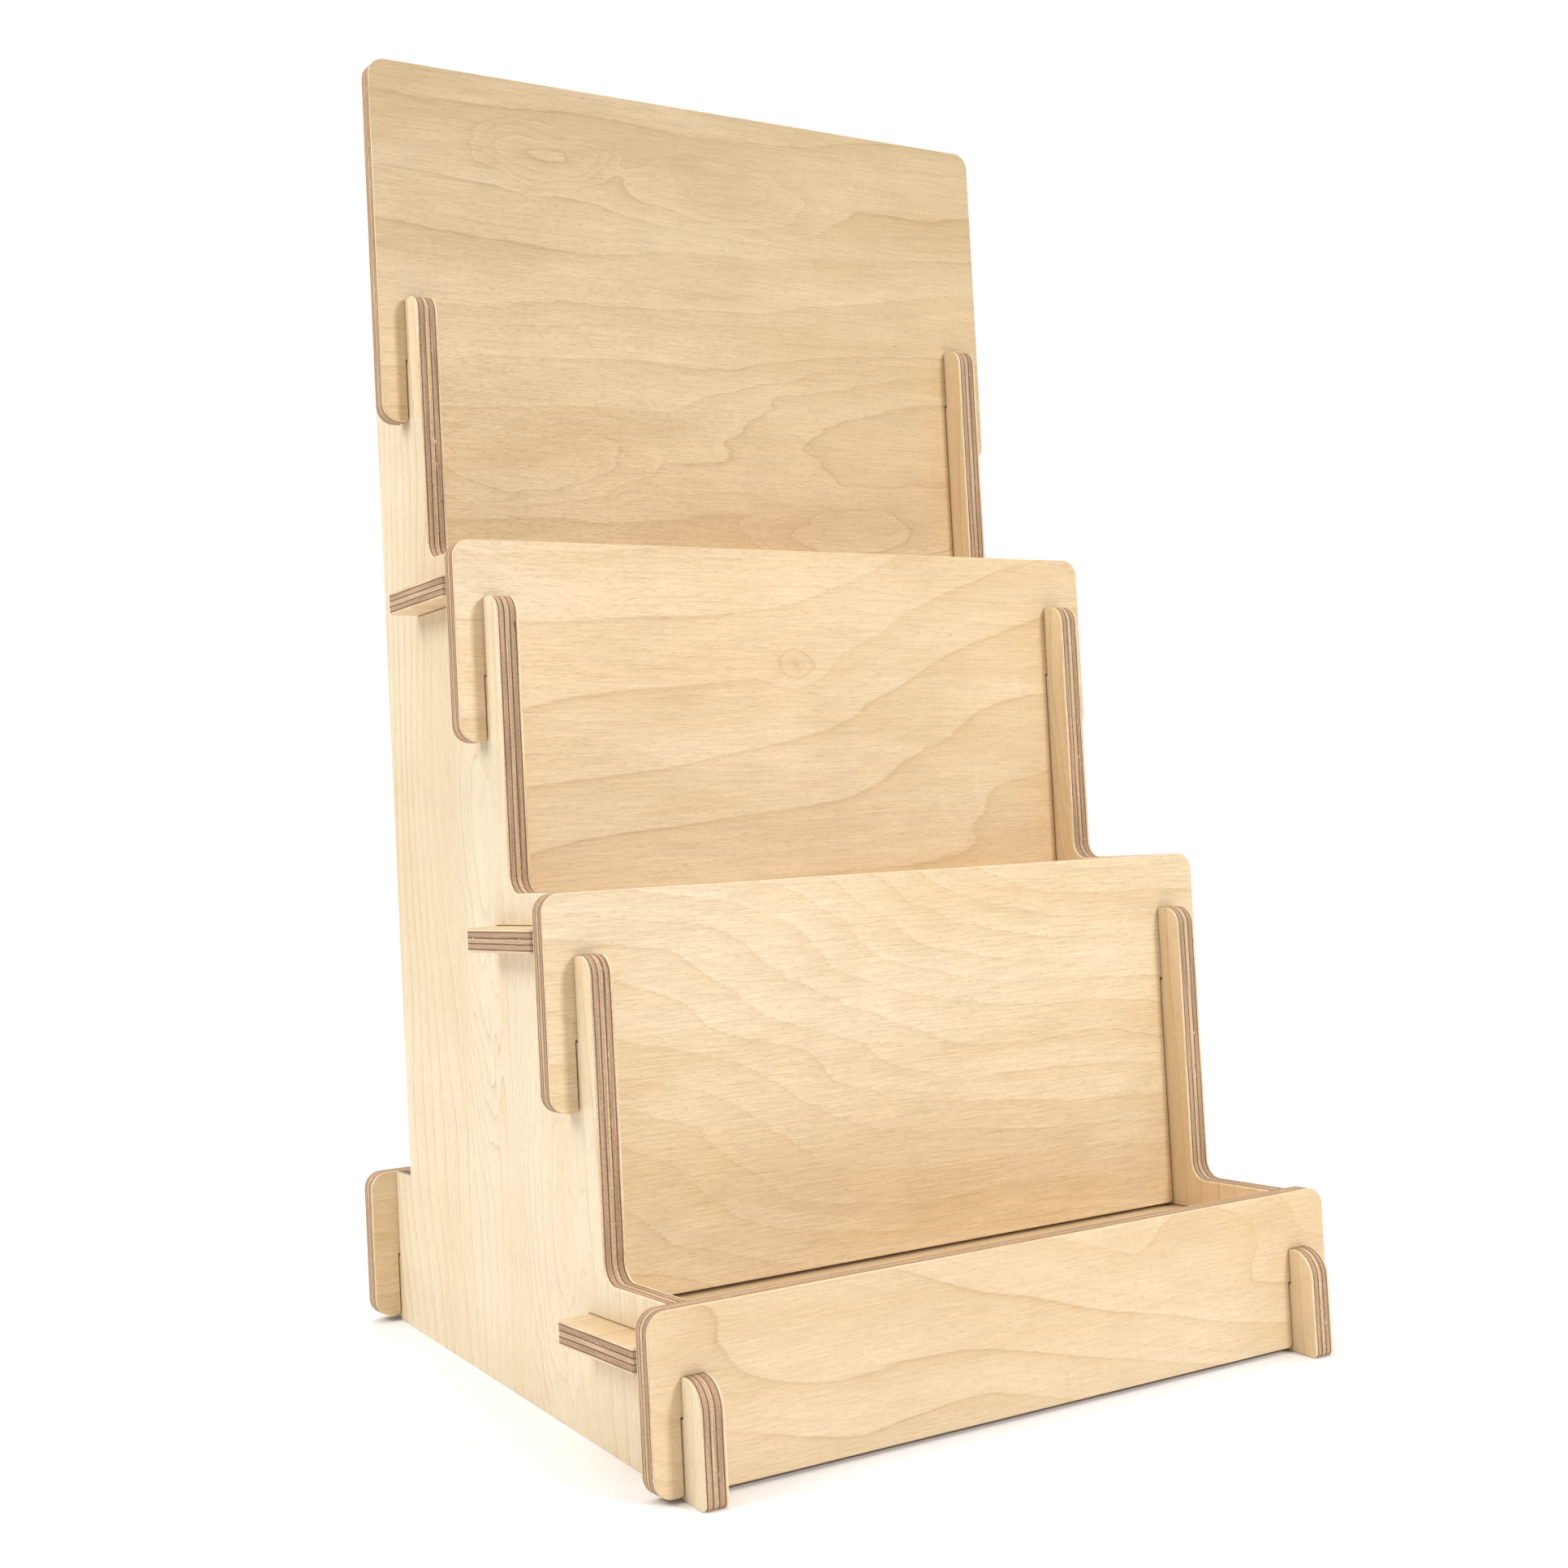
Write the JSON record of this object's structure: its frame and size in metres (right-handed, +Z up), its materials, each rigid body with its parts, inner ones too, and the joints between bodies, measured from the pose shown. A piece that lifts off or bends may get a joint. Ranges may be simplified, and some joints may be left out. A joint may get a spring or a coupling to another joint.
{
  "type": "brochure rack",
  "caption": "Tabletop plywood leaflet stand of slot-together boards: stepped side panels, shelves on through tabs, tall blank header, open back, leaning slightly backwards.",
  "frame": {"origin": "middle of the rack's footprint box, at the level of the surface it stands on", "axes": "+X to the rack's own left-to-right as seen from the front, +Y from the front panel to the back, +Z up"},
  "size_m": [0.261, 0.2582, 0.4586],
  "materials": {
    "side_ply": "pale birch-faced plywood with upright grain, light clear satin finish",
    "panel_ply": "warm birch-faced plywood with level figured grain, light clear satin finish",
    "shelf_ply": "warm birch-faced plywood with level grain, light clear satin finish"
  },
  "bodies": {
    "rack": {"side_panel_left": "side_ply", "side_panel_right": "side_ply", "top_shelf": "shelf_ply", "middle_shelf": "shelf_ply", "bottom_shelf": "shelf_ply"},
    "header": {"header_panel": "panel_ply"},
    "upper": {"upper_divider": "panel_ply"},
    "lower": {"lower_divider": "panel_ply"},
    "front": {"front_panel": "panel_ply"},
    "brace": {"rear_brace": "panel_ply"}
  },
  "joints": [
    {"name": "header_lift", "type": "slide", "parent": "rack", "child": "header", "axis": [0, 0.0698, 0.9976], "range_m": [0, 0.192]},
    {"name": "upper_lift", "type": "slide", "parent": "rack", "child": "upper", "axis": [0, 0.0698, 0.9976], "range_m": [0, 0.138]},
    {"name": "lower_lift", "type": "slide", "parent": "rack", "child": "lower", "axis": [0, 0.0698, 0.9976], "range_m": [0, 0.138]},
    {"name": "front_lift", "type": "slide", "parent": "rack", "child": "front", "axis": [0, 0.0698, 0.9976], "range_m": [0, 0.063]},
    {"name": "brace_lift", "type": "slide", "parent": "rack", "child": "brace", "axis": [0, 0.0698, 0.9976], "range_m": [0, 0.063]}
  ]
}
